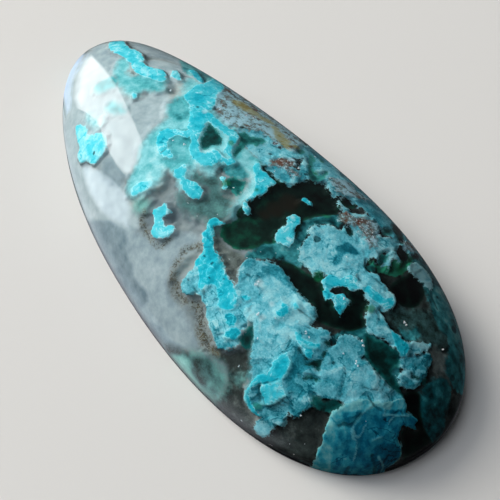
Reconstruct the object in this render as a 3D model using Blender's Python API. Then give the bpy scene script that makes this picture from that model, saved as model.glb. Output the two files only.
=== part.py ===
"""A polished chrysocolla cabochon: one egg-shaped stone with a smooth dome and a flat ground back.

The stone lies on its back, +Z up, with its long axis on X and its wider end at +X. The origin is in
the middle of the back. All sizes are in metres.
"""
import math

import bmesh
import bpy

OBJECT_NAME = "chrysocolla_cabochon"

# Driving dimensions of the stone
LENGTH = 0.0400            # from tip to tip
WIDTH = 0.0167             # across the middle of the length
HEIGHT = 0.0072            # from the flat back to the crown of the dome
GIRDLE_HEIGHT = 0.0012     # where the stone is widest, above the back
BACK_BEVEL = 0.0005        # the bevel ground round the edge of the back

# Form of the outline and of the dome
TAPER = 0.24               # how much wider the stone is at +X, and narrower at -X, as a share of WIDTH
OUTLINE_POWER = 2.2        # 2 is an ellipse; a little more fills the shoulders out
ARCH = -0.00032            # sideways bow of the long axis at its middle
SKEW = 0.0008              # sideways lean of the long axis, one way at each end
DOME_POWER = 2.2           # 2 is an ellipsoid; a little more flattens the crown

# Fineness of the solid
SEGMENTS_ROUND = 80
SEGMENTS_OVER = 40
BEVEL_SEGMENTS = 2

# Finish of the stone
STONE_COLOUR = (0.12, 0.42, 0.46, 1.0)
STONE_ROUGHNESS = 0.08


def clear_scene():
    for old in list(bpy.data.objects):
        bpy.data.objects.remove(old, do_unlink=True)


def rounded(value, power):
    """The cosine or sine of a superellipse, from that of a circle."""
    return math.copysign(abs(value) ** (2.0 / power), value)


def dome_point(direction):
    """Where a point of the unit half-sphere goes on the stone."""
    reach = min(1.0, math.hypot(direction.x, direction.y))
    angle = math.atan2(direction.y, direction.x)
    along = rounded(math.cos(angle), OUTLINE_POWER)
    across = rounded(math.sin(angle), OUTLINE_POWER)
    half_width = WIDTH / 2 * (1 + TAPER * along)
    side = across * half_width + (ARCH + SKEW * along) * (1 - along ** 2)
    rise = math.sqrt(1 - reach ** DOME_POWER)
    return (
        reach * along * LENGTH / 2,
        reach * side,
        GIRDLE_HEIGHT + rise * (HEIGHT - GIRDLE_HEIGHT),
    )


def centre_over_origin(bm):
    """Moves the stone sideways so that the origin is in the middle of its length and width."""
    for axis in (0, 1):
        places = [vert.co[axis] for vert in bm.verts]
        middle = (min(places) + max(places)) / 2
        for vert in bm.verts:
            vert.co[axis] -= middle


def stone_material():
    material = bpy.data.materials.new("polished_chrysocolla")
    material.use_nodes = True
    shader = material.node_tree.nodes["Principled BSDF"]
    shader.inputs["Base Color"].default_value = STONE_COLOUR
    shader.inputs["Roughness"].default_value = STONE_ROUGHNESS
    shader.inputs["Metallic"].default_value = 0.0
    return material


def build_cabochon(collection):
    bm = bmesh.new()
    bmesh.ops.create_uvsphere(bm, u_segments=SEGMENTS_ROUND, v_segments=SEGMENTS_OVER, radius=1.0)
    below = [vert for vert in bm.verts if vert.co.z < -1e-4]
    bmesh.ops.delete(bm, geom=below, context="VERTS")
    for vert in bm.verts:
        vert.co = dome_point(vert.co)

    # the short wall from the girdle down to the back, and the back itself
    girdle = [edge for edge in bm.edges if edge.is_boundary]
    wall = bmesh.ops.extrude_edge_only(bm, edges=girdle)["geom"]
    for vert in wall:
        if isinstance(vert, bmesh.types.BMVert):
            vert.co.z = 0.0
    back_edges = [edge for edge in bm.edges if edge.is_boundary]
    bmesh.ops.contextual_create(bm, geom=back_edges)
    bmesh.ops.bevel(
        bm,
        geom=back_edges,
        offset=BACK_BEVEL,
        segments=BEVEL_SEGMENTS,
        profile=0.5,
        affect="EDGES",
    )
    bmesh.ops.recalc_face_normals(bm, faces=bm.faces)
    centre_over_origin(bm)

    mesh = bpy.data.meshes.new("cabochon")
    bm.to_mesh(mesh)
    bm.free()
    mesh.materials.append(stone_material())
    mesh.shade_smooth()
    mesh.set_sharp_from_angle(angle=math.radians(35))
    cabochon = bpy.data.objects.new("cabochon", mesh)
    collection.objects.link(cabochon)
    return cabochon


def main():
    clear_scene()
    collection = bpy.data.collections.new(OBJECT_NAME)
    bpy.context.scene.collection.children.link(collection)
    build_cabochon(collection)


main()
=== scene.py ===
import math
from typing import NamedTuple

import bmesh
import bpy
import numpy as np
from mathutils import Matrix, Vector


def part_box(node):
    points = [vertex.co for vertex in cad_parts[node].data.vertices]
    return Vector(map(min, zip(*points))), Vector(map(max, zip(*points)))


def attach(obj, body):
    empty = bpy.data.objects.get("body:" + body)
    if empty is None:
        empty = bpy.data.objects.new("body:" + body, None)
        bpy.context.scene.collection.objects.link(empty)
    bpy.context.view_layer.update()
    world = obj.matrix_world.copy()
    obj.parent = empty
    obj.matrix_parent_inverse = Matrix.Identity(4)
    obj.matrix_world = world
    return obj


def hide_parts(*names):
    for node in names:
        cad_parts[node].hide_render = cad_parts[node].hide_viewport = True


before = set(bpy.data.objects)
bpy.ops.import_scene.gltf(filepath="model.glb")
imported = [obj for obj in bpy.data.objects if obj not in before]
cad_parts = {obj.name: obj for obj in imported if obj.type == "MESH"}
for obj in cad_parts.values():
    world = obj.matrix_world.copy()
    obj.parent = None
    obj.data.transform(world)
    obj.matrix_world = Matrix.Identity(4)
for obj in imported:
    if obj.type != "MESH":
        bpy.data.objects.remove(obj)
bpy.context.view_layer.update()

MM = 0.001

# ---------------------------------------------------------------------------------------------
# Form of the stone, in millimetres: the same egg-shaped dome as the CAD solid.
# ---------------------------------------------------------------------------------------------
LOW, HIGH = (np.array(corner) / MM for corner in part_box("cabochon"))
LENGTH, BREADTH, HEIGHT = HIGH - LOW
GIRDLE_HEIGHT = HEIGHT / 6
BACK_BEVEL = HEIGHT * 0.07
TAPER = 0.24
OUTLINE_POWER = 2.2
DOME_POWER = 2.2
MID_WIDTH = BREADTH * 0.9606
ARCH = -LENGTH * 0.008
SKEW = LENGTH * 0.02

# The stone's medial line: depths below the surface are measured towards it.
AXIS_START, AXIS_END, AXIS_HEIGHT = -11.0, 12.0, 0.8
DEEPEST = 12.0
CHART_STEPS = 24


def rounded(value):
    """The cosine or sine of a superellipse, from that of a circle."""
    return np.sign(value) * np.abs(value) ** (2.0 / OUTLINE_POWER)


def outline_point(angle):
    """The girdle's outline at an angle, before it is centred."""
    along = rounded(np.cos(angle))
    across = rounded(np.sin(angle))
    half_width = MID_WIDTH / 2 * (1 + TAPER * along)
    return along * LENGTH / 2, across * half_width + (ARCH + SKEW * along) * (1 - along ** 2)


TURN = np.linspace(-math.pi, math.pi, 2881)
TURN_X, TURN_Y = outline_point(TURN)
SIDE_SHIFT = (TURN_Y.max() + TURN_Y.min()) / 2
TURN_BEARING = np.unwrap(np.arctan2(TURN_Y, TURN_X))
TURN_REACH = np.hypot(TURN_X, TURN_Y)


def dome_height(reach):
    return GIRDLE_HEIGHT + (HEIGHT - GIRDLE_HEIGHT) * np.sqrt(np.clip(1 - reach ** DOME_POWER, 0, 1))


def to_edge(points):
    """Each point's bearing from the crown, how far the girdle is there, and its share of that way."""
    x, y = points[..., 0], points[..., 1] + SIDE_SHIFT
    bearing = np.arctan2(y, x)
    edge = np.interp(bearing, TURN_BEARING, TURN_REACH, period=2 * math.pi)
    return bearing, edge, np.hypot(x, y) / edge


def fullness(points):
    """Below 0 inside the stone, 0 on its surface, above 0 outside."""
    _, _, reach = to_edge(points)
    rise = np.clip((points[..., 2] - GIRDLE_HEIGHT) / (HEIGHT - GIRDLE_HEIGHT), 0, None)
    return reach ** DOME_POWER + rise ** 2 - 1


def unit(vectors):
    return vectors / np.linalg.norm(vectors, axis=-1, keepdims=True)


def surface_normal(points, step=1e-3):
    slopes = [fullness(points + step * axis) - fullness(points - step * axis) for axis in np.eye(3)]
    return unit(np.stack(slopes, axis=-1))


def inward(points):
    """Unit vectors from points towards the stone's medial line."""
    along = np.clip(points[..., 0], AXIS_START, AXIS_END)
    height = np.minimum(AXIS_HEIGHT, points[..., 2])
    return unit(np.stack([along, np.zeros_like(along), height], axis=-1) - points)


def halve(near, far, is_past, times):
    """Narrows each span between near and far down to where it passes over."""
    for _ in range(times):
        middle = (near + far) / 2
        past = is_past(middle)
        far = np.where(past, middle, far)
        near = np.where(past, near, middle)
    return far


def surface_above(points):
    """Where the line out from the medial line through each point leaves the stone, and how deep it lies."""
    way = inward(points)
    start, end = np.zeros(len(points)), np.full(len(points), DEEPEST)
    deep = halve(start, end, lambda run: fullness(points - way * run[:, None]) > 0, times=28)
    return points - way * deep[:, None], deep


def chart(surface_points):
    """Unrolls the surface: distance from the crown over it, in millimetres, along each point's bearing."""
    bearing, edge, reach = to_edge(surface_points)
    top = np.arcsin(np.clip(reach, 0, 1))
    angles = top[:, None] * (np.arange(CHART_STEPS) + 0.5) / CHART_STEPS
    sines, cosines = np.sin(angles), np.cos(angles)
    slope = DOME_POWER / 2 * sines ** (DOME_POWER - 1) * cosines
    slope = slope / np.sqrt(np.clip(1 - sines ** DOME_POWER, 1e-6, 1))
    pace = np.hypot(edge[:, None] * cosines, (HEIGHT - GIRDLE_HEIGHT) * slope)
    distance = pace.mean(axis=1) * top
    distance += np.clip(GIRDLE_HEIGHT - surface_points[:, 2], 0, None)
    return np.stack([np.cos(bearing) * distance, np.sin(bearing) * distance], axis=1)


# ---------------------------------------------------------------------------------------------
# Camera: 52 degrees above the table, beside the stone's wider end.
# ---------------------------------------------------------------------------------------------
FRAME_PX = 500
VIEW_AZIMUTH, VIEW_ELEVATION = math.radians(57.15), math.radians(52.0)
VIEW_DISTANCE = 90.0
VIEW_AIM = np.array([1.01, 0.45, 0.0])
FOCAL_PX = 1332.3
SENSOR_MM = 36.0
VIEW_BACK = np.array(
    [
        math.sin(VIEW_AZIMUTH) * math.cos(VIEW_ELEVATION),
        -math.cos(VIEW_AZIMUTH) * math.cos(VIEW_ELEVATION),
        math.sin(VIEW_ELEVATION),
    ]
)
VIEW_RIGHT = np.array([math.cos(VIEW_AZIMUTH), math.sin(VIEW_AZIMUTH), 0.0])
VIEW_UP = np.cross(VIEW_BACK, VIEW_RIGHT)
EYE = VIEW_AIM + VIEW_BACK * VIEW_DISTANCE
CHALCEDONY_IOR = 1.54
SEARCH_SPAN, SEARCH_STEP = 25.0, 0.1    # of a line of sight, in millimetres
GRAZING = 0.02                          # the least cosine at which a line is bent
SINK_STEPS, SINK_STRIDE, SINK_LIMIT = 12, 0.5, 8.0


def add_camera():
    data = bpy.data.cameras.new("camera")
    data.sensor_width = SENSOR_MM
    data.lens = FOCAL_PX / FRAME_PX * SENSOR_MM
    data.clip_start, data.clip_end = 0.005, 5.0
    camera = bpy.data.objects.new("camera", data)
    turn = Matrix((VIEW_RIGHT, VIEW_UP, VIEW_BACK)).transposed().to_4x4()
    camera.matrix_world = Matrix.Translation(Vector(EYE * MM)) @ turn
    bpy.context.scene.collection.objects.link(camera)
    bpy.context.scene.camera = camera


def sight_lines(pixels):
    """Where the lines of sight through pixels meet the stone, how they run on inside, and how they mirror."""
    pixels = np.asarray(pixels, float)
    across = (pixels[:, :1] - FRAME_PX / 2) / FOCAL_PX
    down = (pixels[:, 1:] - FRAME_PX / 2) / FOCAL_PX
    line = unit(across * VIEW_RIGHT - down * VIEW_UP - VIEW_BACK)
    steps = np.arange(VIEW_DISTANCE - SEARCH_SPAN, VIEW_DISTANCE + SEARCH_SPAN, SEARCH_STEP)
    path = EYE + line[:, None, :] * steps[None, :, None]
    # A line that misses the stone is bent where it passes nearest, above the table.
    closeness = np.where(path[..., 2] > 0, fullness(path), np.inf)
    inside = closeness < 0
    first = np.where(inside.any(axis=1), inside.argmax(axis=1), closeness.argmin(axis=1))
    near, far = steps[np.maximum(first - 1, 0)], steps[first]
    run = halve(near, far, lambda run: fullness(EYE + line * run[:, None]) < 0, times=25)
    points = EYE + line * run[:, None]
    normal = surface_normal(points)
    slant = (line * normal).sum(axis=1, keepdims=True)
    cosine = np.clip(-slant, GRAZING, 1)
    ratio = 1 / CHALCEDONY_IOR
    bent = unit(ratio * line + (ratio * cosine - np.sqrt(1 - ratio ** 2 * (1 - cosine ** 2))) * normal)
    return points, bent, line - 2 * slant * normal


def place(pixels, depth):
    """Chart points of what is seen at pixels, a depth in millimetres below the dome."""
    points, bent, _ = sight_lines(pixels)
    run = np.zeros(len(points))
    for _ in range(SINK_STEPS):
        _, deep = surface_above(points + bent * run[:, None])
        run += np.clip(depth - deep, -SINK_STRIDE, SINK_STRIDE)
        run = np.clip(run, 0, SINK_LIMIT)
    above, _ = surface_above(points + bent * run[:, None])
    return chart(above)


# ---------------------------------------------------------------------------------------------
# What is grown in the stone, traced in pixels of the camera's 500 x 500 frame. Each outline
# has a name, a tone from 0 for dark to 1 for pale, and its corners as x,y.
# ---------------------------------------------------------------------------------------------
def numbers(text):
    """Groups of numbers, with commas inside a group and spaces between groups."""
    return [[float(part) for part in word.split(",")] for word in text.split()]


def traced(text):
    """Shapes, each as a name that is only there to be read, a tone or a width, and its points."""
    shapes = []
    for word in text.split():
        if "," in word:
            shapes[-1][1].extend(numbers(word))
        elif not word[0].isalpha():
            shapes.append((float(word), []))
    return shapes


CYAN_CRUSTS = traced("""
    far_stripe 0.62 108,46 110,42 116,41 123,41 127,46 133,49 141,52 144,58 145,64 152,67 160,69 165,72
        166,78 162,82 154,80 147,78 140,75 135,71 131,65 127,60 121,56 114,53 110,50
    far_blob 0.65 171,72 176,70 181,74 181,80 176,80 171,76
    trunk 0.5 184,96 190,90 197,84 206,83 212,79 219,80 224,86 221,92 216,95 216,103 212,109 206,112 208,119
        203,126 202,131 199,138 199,147 203,153 210,151 217,150 222,154 227,159 233,158 236,163 228,165
        221,161 214,164 205,166 197,163 191,158 189,151 190,143 190,135 187,128 189,119 190,108 187,101
    ring 0.5 156,141 158,134 164,129 173,128 182,131 190,130 190,137 180,136 173,137 168,141 168,148 173,153
        172,158 165,157 159,152 157,147
    trunk_arm 0.55 172,173 178,167 185,164 187,170 184,176 190,181 198,184 202,191 200,197 193,199 186,194
        182,187 180,180 175,177
    right_arm 0.5 206,112 214,116 221,123 230,128 236,131 239,137 235,144 231,150 233,157 226,153 223,149
        228,143 226,136 219,130 212,124 206,119
    oval 0.72 131,192 133,186 140,182 147,180 153,181 152,186 147,190 140,193 134,196
    hook 0.72 153,209 160,206 165,203 168,205 170,210 167,214 163,217 165,221 166,225 172,225 175,229
        173,233 169,234 166,238 160,239 155,237 151,233 152,227 154,223 153,217 151,213
    left_island 0.78 76,126 81,124 86,128 88,134 94,134 99,132 104,135 106,141 106,148 102,155 97,161 91,164
        86,161 80,162 77,157 79,149 78,141 76,134
    spire 0.36 207,224 210,220 216,218 220,221 224,222 220,225 214,226 214,236 213,245 217,254 220,261
        225,269 228,279 233,286 237,294 236,302 231,309 222,309 217,307 218,298 215,289 211,283 205,285
        201,291 197,287 199,279 199,272 195,267 196,259 201,251 203,243 201,234 205,229
    spire_drop 0 226,314 231,313 236,316 236,323 232,327 227,325 224,319
    spire_foot 0.2 224,333 230,329 237,328 240,332 238,338 232,340 225,338
    tip_strip 0.5 255,162 260,163 263,170 270,178 276,183 270,187 268,192 258,196 250,200 248,204 251,211
        247,214 243,208 243,202 248,197 253,192 256,185 254,175
    lone_island 0.55 285,218 288,216 293,215 298,216.5 301,220 300,223 297,226 296,232 295.5,238 293,243
        288,246.5 281,244.5 275,240.5 276,234 280,229 285,225.5 287,221
    chip 0.3 302,199 306,198.5 310,201 313.5,204 310,205.5 306,203.6 302.5,201.5
    curl 0.42 281,355 286,352 289,360 289,367 286,374 280,379 274,383 266,384.5 258,385.5 252,387.5 249,392
        248.8,398 251.5,405 255.5,410.5 261,417 257,416.5 250.5,411 246.5,405 244.8,398 246,391 250,385
        254.5,379 260,374.5 267,371.5 271.5,367 273.5,361 277.5,358
    curl_rag 0.56 259.5,387 261.5,383.5 264.5,386 268,382.5 271.5,384.4 275,382 278,383.4 280.4,381.6
        281.8,386.6 280.4,389.4 289,392 289,392.4 284.6,394 288,396.6 288,397 282.4,395.8 284.6,400.4
        284.4,400.8 279.4,397.6 280.2,403.4 279.8,403.6 275.6,399.2 275.4,405.4 275,405.4 271.4,400.6
        270,406.8 269.6,406.8 267,402.6 265.4,406.8 263,402.4 263,398.8 260.5,394.6 258.8,391
    blob_pair_left 0.26 276,313 279,308 283,303 289,306 289,311 284,316 278,317
    blob_pair_right 0.6 294,304 298,303 300,307 297,310 294,308
    knot 0.36 296,333 299,330.5 301,337 305,340 310,342 315,343.5 320,343.5 320,347 317.5,350 313.5,350
        312.5,354 310,358.5 306.5,357 305,351 302.5,347 298.5,343
    band 0.5 321,280 326,275 334,275 341,279 347,275 354,276 358,282 362,285 368,284 373,288 379,293 386,297
        393,298 395,303 393,309 386,309 380,305 373,299 367,294 361,289 352,291 348,287 338,287 328,287
        323,285
    triangle 0.42 325,287 329,288 332,293 338,294 343,293 347,299 351,301 347,305 344,310 341,315 337,311
        334,306 331,300 326,300 324,293
    strip_core 0.35 390,330 396,334 403,340 409,346 409,352 404,357 399,353 394,343
    far_drop 0.7 131,94 134,92 137,95 134,99 131,97
    far_edge 0.42 189,70 194,70 200,75 204,82 200,82 194,76
    great_chip 0.3 243,296 249,294 251,299 246,301
    drip 0.6 220.5,177 224,176.5 225,182 227.5,187 226,190.5 222,188 221,183
""")
PALE_CLOUDS = traced("""
    main 0.56 243,262 252,258 262,261 269,260 276,264 282,268 287,276 292,284 297,290 304,298 312,304
        316,313 314,320 308,326 318,327 329,330 331,337 326,343 334,346 338,338 345,334 354,336 361,338
        366,344 366,352 362,358 369,362 375,369 382,377 390,384 397,389 403,396 402,404 392,410 372,414
        352,412 343,404 336,402 328,400 320,397 314,399 313,406 305,408 301,415 294,419 287,414 286,424
        282,430 276,427 272,433 264,437 257,433 255,425 261,416 252,410 247,402 245,392 251,384 256,374
        254,362 257,348 256,336 258,324 254,312 243,304 237,296 237,284 239,272
    spire_skirt 0.62 198,262 191,269 184,276 180,284 182,292 188,297 194,292 200,297 203,305 205,316 209,325
        211,334 212,343 217,349 226,350 235,348 241,341 242,331 247,324 253,315 250,304 243,299 236,290
        228,276 218,256 204,250
    upper_right 0.7 303,243 309,236 308,229 315,225 324,223 333,225 340,228 348,222 343,210 338,203 340,200
        344,206 352,211 366,214 376,220 380,230 384,238 393,238 399,244 399,250 392,252 386,250 381,256
        377,262 372,258 366,262 370,270 378,275 382,283 389,291 395,298 396,306 388,310 380,309 384,318
        391,328 399,335 406,341 416,341 427,343 432,347 426,352 416,354 404,358 397,350 389,342 379,337
        370,333 366,325 366,314 368,305 366,297 360,289 350,285 336,283 325,276 322,272 314,274 306,266
        298,256
    rim_upper 0.74 252,118 262,122 278,122 292,132 304,144 308,152 300,158 290,158 276,160 264,160 256,156
        248,148 240,136 238,126
    rim_wedge 0.6 262,160 274,163 290,166 300,172 306,178 300,182 290,184 282,180 270,171
    rust_shelf 0.46 330,178 344,168 358,172 376,186 394,204 408,222 420,240 424,254 412,256 402,246 392,238
        382,230 372,216 360,206 348,198 336,196 328,188
    arch 0.7 396,250 388,250 384,256 384,264 388,269 393,267 391,261 394,258 400,264 401,260 397,254
    rim_ledge 0.98 409,266 416,262 424,268 431,276 434,284 432,290 426,284 420,278 414,276 409,271
    lower_tongue 0.2 292,404 306,402 312,406 302,412 299,419 294,415 290,410
    rim_far 0.5 302,156 304,146 318,144 332,150 346,162 350,172 340,177 330,181 318,181 306,179 300,170
    main_shade 0.3 286,352 292,340 298,350 306,362 314,374 322,380 340,370 348,376 344,396 330,398 312,394
        296,396 288,386 284,372 288,360
    main_left 0.64 252,318 262,316 280,322 284,336 280,348 272,356 266,372 252,382 250,360 253,338
    main_top 0.82 268,276 284,286 300,298 310,306 312,316 300,324 286,322 270,314 262,300 262,286
    cloud_core 0.74 310,226 336,228 346,236 336,248 324,264 306,264 298,254 312,244
    cloud_shade 0.04 338.4,247 343,245.5 348,243.5 351.5,245.5 355,249 359,253.4 355,253 349.7,251.6
        345,252.5 341,255.4 339,260.5 336.7,264 334,262 336,257.7 338.4,253.4 337,250
    patch 0.38 400,362 406,358 414,356 423,354 430,353 433,359 431,367 428,374 424,381 419,388 411,390
        404,388 399,383 399,376 403,370
""")
# One small pale haze patch on the far left, just above the left island, is lightened as a painted highlight
# at the edge of the panes' reflection.
HAZE = traced("""
    trunk_skirt 0.6 133,172 138,160 140,147 147,135 158,126 166,118 166,108 172,100 180,96 188,92 200,86
        214,80 223,82 227,90 220,100 214,112 226,120 238,128 240,138 236,150 242,158 252,162 262,170 268,186
        258,196 246,202 240,210 236,220 231,218 233,207 239,196 247,186 250,176 242,168 232,166 220,166
        212,175 204,172 196,168 190,178 182,190 176,178 166,170 158,184 148,192 136,198 128,194 127,184
    far_ring 0.5 116,64 121,59 129,60 130,66 128,72 133,76 142,74 150,76 160,78 166,80 164,90 156,90 148,87
        141,92 133,98 124,92 118,84 114,74
    far_skirt 0.42 184,82 192,78 200,84 196,90 188,94 182,92
    in_ring 0.3 167,138 176,134 188,138 190,150 192,160 184,166 174,172 166,164 164,156 172,152
    far_notch 0.2 170,103 176,98 185,100 188,108 184,117 176,117 171,111
    washed_upper 0.3 94,88 99,82 107,79 114,76 118,79 116,86 108,90 100,93 95,92
    washed_lower 0.3 105,108 110,102 117,103 123,108 126,112 119,114 111,113
    washed_side 0.8 87,113 91,117 98,118 104,117 102,124 96,128 90,125 86,119
    far_deep 0.38 142,77 150,81 160,83 165,82 164,89 156,92 146,90 138,92 128,90 121,86 119,80 126,82 134,80
    ring_dark 0.16 165,134 172,131 180,132 188,133 189,139 182,141 174,140 168,139
    strip_head 0.5 231,150 240,146 250,150 258,157 268,162 264,168 252,167 240,164 230,158
    main_side 0.06 250,312 258,314 264,326 263,342 262,360 262,374 256,386 248,390 249,372 249,352 250,330
""")
TEAL_MASSES = traced("""
    right_rim 0.42 412,250 426,244 442,262 454,284 466,304 472,322 475,344 474,368 468,392 456,390 448,376
        446,362 450,350 448,338 440,330 434,318 430,304 426,290 416,276 404,268 404,258
    lower_right 0.22 424,388 434,380 446,378 452,390 449,404 444,418 440,432 434,444 428,440 422,426 420,410
        421,398
    behind_band 0.35 330,340 345,330 366,326 376,336 390,346 402,358 398,372 396,384 380,372 366,358 350,350
    under_main 0.5 268,236 284,244 298,244 300,254 306,264 296,266 280,258 262,260 248,262 246,254 256,246
    far_side 0.75 182,68 184,54 200,60 216,70 232,82 240,94 230,98 216,92 204,82 190,76
    rim_vein 0.7 446,300 452,312 458,326 458,340 453,338 448,326 440,316 436,306 434,296 438,288 443,292
    right_shade 0.42 400,328 408,332 416,326 420,334 416,341 406,340 400,334
    left_of_strip 0.68 226,166 240,166 248,174 244,180 234,178 226,174
    alley_mouth 0.42 386,360 394,362 400,370 400,382 394,384 388,374 384,366
    wedge_glass 0.5 262,167 272,168 284,173 296,180 290,185 280,180 270,174
    island_side 0.42 303,220 312,217 330,214 338,214 344,221 338,227 330,225 318,225 309,229 308,236 303,244
        298,253 290,247 296,239 299,229
    great_band 0.42 270,232 262,242 250,250 270,250 282,246 274,240
""")
SURFACE_FAN = traced("""
    fan 0.5 329,419 334,412 342,407 352,401 364,400 378,403 392,402 403,399 408,407 407,413 414,416 419,421
        416,427 419,432 411,430 404,427 400,434 400,443 402,451 398,458 391,463 384,470 388,482 364,490
        344,488 326,484 308,478 313,467 314,459 319,450 323,438 326,428
    fan_top 0.84 336,411 346,405 358,400 372,401 386,403 402,400 406,408 392,409 378,408 366,410 358,409
        348,411
    fan_left 0.74 329,420 334,412 341,412 342,424 338,434 333,444 330,456 328,478 308,478 314,460 320,448
        326,432
    fan_deep 0.46 354,432 360,424 368,414 378,408 386,412 396,417 408,416 414,420 404,424 398,432 398,446
        394,456 384,466 376,468 370,450 360,440
    fan_dark 0.2 376,449 386,444 396,446 400,452 396,460 388,466 380,474 376,462
    fan_hem 0.08 334,483 346,475 356,475 366,478 376,477 384,480 370,494 338,494
""")
WINDOWS = traced("""
    great 0.25 220,234 223,227 230,223 237,219 237,212 243,207 247,202 256,197 266,193 269,187 275,182
        266,175 259,168 268,171 278,178 289,185 295,180 300,183 306,181 320,181 329,183 334,193 341,195
        350,199 361,203 357,207 348,209 341,203 338,203 337,214 328,215 316,217 304,221 300,228 297,238
        290,246 278,244 266,244 256,247 246,250 236,250 228,245 222,239
    diagonal 0.12 280,262 288,262 298,267 306,273 315,276 322,272 322,282 324,292 328,301 334,307 340,315
        346,308 352,301 346,294 338,288 350,288 360,290 366,297 368,306 362,314 364,326 352,332 340,329
        326,324 316,319 316,308 308,301 296,293 288,282 282,272
    right_hole 0 388,292 392,284 400,278 410,275 418,280 424,288 424,298 418,306 406,308 398,302
    rim_hole 0.9 366,262 374,266 386,266 394,262 402,260 398,252 402,246 408,254 412,262 404,272 394,276
        384,274 372,270
    corner 0 404,396 412,392 420,396 420,410 424,428 432,444 440,436 446,420 456,404 472,390 476,408 462,446
        436,472 404,488 376,490 380,478 388,466 400,458 402,446 401,434 408,430 418,432 417,420 408,412
    great_green 0.44 221,232 226,226 236,219 248,218 256,224 262,232 258,242 246,249 234,249 226,243
    great_right 0.18 312,196 330,190 338,196 336,214 322,215 308,219 306,208
""")
# Two of these are painted shade as well as hollows: the dark under the knot and the crease just below it.
PITS = traced("""
    trunk_hole 0.5 200,142 204,134 207,124 213,126 218,133 222,139 220,145 213,146 206,150 201,148
    upper_dark 0.62 238,134 246,132 252,137 262,138 265,142 258,146 250,144 245,148 239,154 234,157 235,149
        240,142
    hollow_above_strip 0.62 226,181 232,176 240,180 248,182 244,188 238,196 230,191 222,190
    green_alley 0.42 366,334 374,338 382,341 390,346 398,354 399,364 392,372 396,382 402,390 404,398 398,394
        388,384 380,376 372,366 366,356 364,346
    slit 0.2 410,372 414,374 418,379 417,381 412,377
    nick 0.12 346,224 350,226 353,232 351,237 346,234 345,228
    rim_black 0.05 397,249 401,247 406,252 408,260 403,262 398,256
    ledge_eye 0.1 411,256 415,253 420,256 416,259
    under_arch 0.4 361,263 368,264 375,266 376,272 370,270 364,266
    bay 0.6 378,256 382,253 387,256 385,262 379,262
    bay_upper 0.5 383,229 388,228 392,231 388,236 384,234
    rim_green 0.3 392,224 398,226 403,234 404,244 399,244 396,236 392,230
    crescent 0.02 298,347 302,348 304,353 308,360 303,358 299,352
    under_knot 0.25 306,365 311,361 318,360 322,355 326,346 323,342 330,341 327,352 322,362 319,372 313,367
    crease 0.45 299,375 305,377 314,376 320,380 310,381 303,379
    skirt_gap 0.5 240,340 246,330 252,324 253,336 250,348 244,350 240,346
    curl_notch 0.7 254,404 259,403 262,406 261,410 257,408
    tongue_gap 0.4 312,395 318,396 325,402 334,400 342,406 332,412 318,410 313,404
    patch_side 0.3 422,378 426,377 427,382 424,386 421,383
    fan_notch 0.1 376,430 381,429 385,432 381,436 377,434
    fan_slot 0.05 371,452 374,452 375,462 377,470 373,472 371,462
    rim_dot 0.7 296,151 302,150 306,153 300,155
    rim_gap 0.75 309,154 314,158 313,168 318,176 326,170 325,178 318,181 310,180 308,168
    trunk_gap 0.5 222,128 226,132 229,135 226,136 222,132
""")
MILKY_CLOUDS = traced("""
    far_milk 0.55 64,100 70,78 84,58 96,50 112,62 124,94 136,100 156,92 170,96 168,114 154,128 142,144
        134,168 122,178 104,168 84,166 70,140
    near_milk 0.6 74,160 90,166 108,172 122,182 128,198 134,212 140,226 124,240 108,238 94,214 80,186
    far_fringe 0.45 134,40 154,36 176,42 194,54 206,64 196,70 184,66 168,60 152,56 138,52
    dim_milk 0.25 100,168 108,162 116,170 122,178 116,184 106,176
    milk 0.36 120,226 136,232 150,238 166,236 182,232 200,238 196,250 184,258 174,268 168,280 168,292
        174,302 184,314 192,330 200,346 186,350 176,356 160,358 142,336 124,308 106,276 94,248 100,232
    left_edge 0.62 54,124 50,98 56,70 70,50 88,44 76,74 70,100 74,130 78,160 88,186 98,208 104,224 96,236
        80,218 66,186 56,152
    low_edge 0.24 100,248 116,246 132,276 150,306 166,334 180,352 164,362 144,338 122,304 104,272
    milk_swirl 0.46 131,258 142,254 152,262 159,272 162,286 164,300 170,311 180,321 190,333 184,342 170,336
        157,322 148,308 143,293 137,277
    milk_shadow 0.08 110,250 121,254 130,268 134,282 142,290 146,300 140,304 130,294 118,276
    milk_spot 0.1 145,320 152,325 161,330 163,337 155,336 147,329
    left_rim 0.6 66,110 78,112 82,122 76,134 80,160 74,168 66,150 64,128
    far_top 0.5 92,46 108,44 110,54 122,60 112,70 100,58 92,52
    far_grey 0.58 146,62 156,60 168,62 180,66 190,72 196,80 186,82 176,84 168,88 166,80 156,70 146,68
    dim_corner 0.2 88,228 100,224 112,226 122,234 124,252 118,266 106,266 94,248
""")
SMOKE = traced("""
    dark_half 0.18 246,216 268,164 296,140 340,158 384,196 420,240 446,278 468,318 476,366 470,416 440,462
        404,484 368,490 306,478 262,454 244,436 258,420 290,404 286,372 256,330 250,290 262,256 240,244
    arch_gap 0.3 208,168 214,160 222,163 230,170 226,174 218,170 210,172
    brown_wedge 0.58 214,232 221,238 228,248 240,253 246,258 242,268 238,278 234,292 228,278 220,258 214,246
    lower_centre 0.33 212,346 226,352 240,350 250,348 253,366 249,380 245,392 246,406 256,418 258,432
        250,446 230,434 206,414 216,400 222,396 228,384 226,366 214,356
    bottom 0.18 252,434 264,438 276,432 286,424 296,419 314,406 328,404 330,414 326,428 320,444 312,458
        310,466 288,458 268,448
    right_brown 0.5 430,350 440,346 448,354 450,368 446,384 438,380 434,366
    right_pit 0.1 438,336 444,333 450,338 452,348 446,352 439,346
    bottom_haze 0.24 282,430 290,424 302,428 310,438 309,450 300,456 288,452 280,442
""")
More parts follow.
